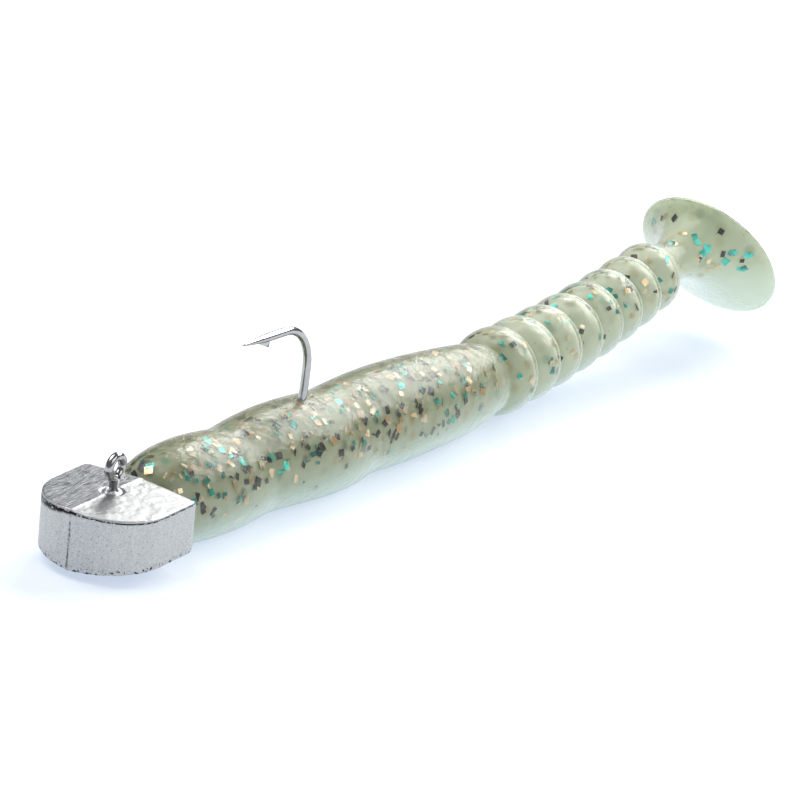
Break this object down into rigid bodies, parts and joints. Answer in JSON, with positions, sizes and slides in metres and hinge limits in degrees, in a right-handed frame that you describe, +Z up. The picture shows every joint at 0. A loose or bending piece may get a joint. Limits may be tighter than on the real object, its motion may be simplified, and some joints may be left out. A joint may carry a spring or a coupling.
{
  "type": "swimbait",
  "caption": "Soft paddle-tail fishing bait with a ringed, flexing tail, rigged on a D-shaped lead jig head with an eye and a single hook.",
  "frame": {"origin": "middle of the footprint of the whole bait, on the surface that it lies on", "axes": "+X from nose to tail, +Y across, through the eye, +Z up; the bait is symmetric about Y = 0"},
  "size_m": [0.1302, 0.0178, 0.0192],
  "materials": {
    "lead": "bare cast lead, brushed top",
    "tinned_wire": "bright tinned",
    "smoky_pour": "translucent gloss with flakes",
    "milky_pour": "translucent gloss"
  },
  "bodies": {
    "rigged_front": {"lead_head": "lead", "jig_hook": "tinned_wire", "body_back": "smoky_pour", "body_belly": "milky_pour"},
    "ring_1": {"ring_1_back": "smoky_pour", "ring_1_belly": "milky_pour"},
    "ring_2": {"ring_2_back": "smoky_pour", "ring_2_belly": "milky_pour"},
    "ring_3": {"ring_3_back": "smoky_pour", "ring_3_belly": "milky_pour"},
    "ring_4": {"ring_4_back": "smoky_pour", "ring_4_belly": "milky_pour"},
    "ring_5": {"ring_5_back": "smoky_pour", "ring_5_belly": "milky_pour"},
    "ring_6": {"ring_6_back": "smoky_pour", "ring_6_belly": "milky_pour"},
    "ring_7": {"ring_7_back": "smoky_pour", "ring_7_belly": "milky_pour"},
    "ring_8": {"ring_8_back": "smoky_pour", "ring_8_belly": "milky_pour"},
    "paddle": {"paddle_back": "smoky_pour", "paddle_belly": "milky_pour"}
  },
  "joints": [
    {"name": "tail_sway", "type": "hinge", "parent": "rigged_front", "child": "ring_1", "pos_m": [0.01091, 0, 0.00515], "axis": [-0.061, 0, 0.9981], "range_deg": [-10, 10], "stiffness_Nm_per_rad": 0.02},
    {"name": "tail_lift", "type": "hinge", "parent": "ring_1", "child": "ring_2", "pos_m": [0.0159, 0, 0.00545], "axis": [0.002, -1, 0], "range_deg": [-4, 9], "stiffness_Nm_per_rad": 0.02},
    {"name": "tail_sway_2", "type": "hinge", "parent": "ring_2", "child": "ring_3", "pos_m": [0.02076, 0, 0.00588], "axis": [-0.1132, 0, 0.9936], "range_deg": [-10, 10], "stiffness_Nm_per_rad": 0.02},
    {"name": "tail_lift_2", "type": "hinge", "parent": "ring_3", "child": "ring_4", "pos_m": [0.02548, 0, 0.00642], "axis": [0.002, -1, 0], "range_deg": [-4, 9], "stiffness_Nm_per_rad": 0.02},
    {"name": "tail_sway_3", "type": "hinge", "parent": "ring_4", "child": "ring_5", "pos_m": [0.03007, 0, 0.00706], "axis": [-0.165, 0, 0.9863], "range_deg": [-10, 10], "stiffness_Nm_per_rad": 0.02},
    {"name": "tail_lift_3", "type": "hinge", "parent": "ring_5", "child": "ring_6", "pos_m": [0.03453, 0, 0.00781], "axis": [0.002, -1, 0], "range_deg": [-4, 9], "stiffness_Nm_per_rad": 0.02},
    {"name": "tail_sway_4", "type": "hinge", "parent": "ring_6", "child": "ring_7", "pos_m": [0.03884, 0, 0.00865], "axis": [-0.2164, 0, 0.9763], "range_deg": [-10, 10], "stiffness_Nm_per_rad": 0.02},
    {"name": "tail_lift_4", "type": "hinge", "parent": "ring_7", "child": "ring_8", "pos_m": [0.04301, 0, 0.00957], "axis": [0.002, -1, 0], "range_deg": [-4, 9], "stiffness_Nm_per_rad": 0.02},
    {"name": "paddle_wag", "type": "hinge", "parent": "ring_8", "child": "paddle", "pos_m": [0.04704, 0, 0.01058], "axis": [-0.2419, 0, 0.9703], "range_deg": [-25, 25], "stiffness_Nm_per_rad": 0.01}
  ],
  "couplings": [
    {"joint": "tail_sway_2", "follows": "tail_sway", "ratio": 1},
    {"joint": "tail_lift_2", "follows": "tail_lift", "ratio": 1},
    {"joint": "tail_sway_3", "follows": "tail_sway", "ratio": 1},
    {"joint": "tail_lift_3", "follows": "tail_lift", "ratio": 1},
    {"joint": "tail_sway_4", "follows": "tail_sway", "ratio": 1},
    {"joint": "tail_lift_4", "follows": "tail_lift", "ratio": 1}
  ]
}
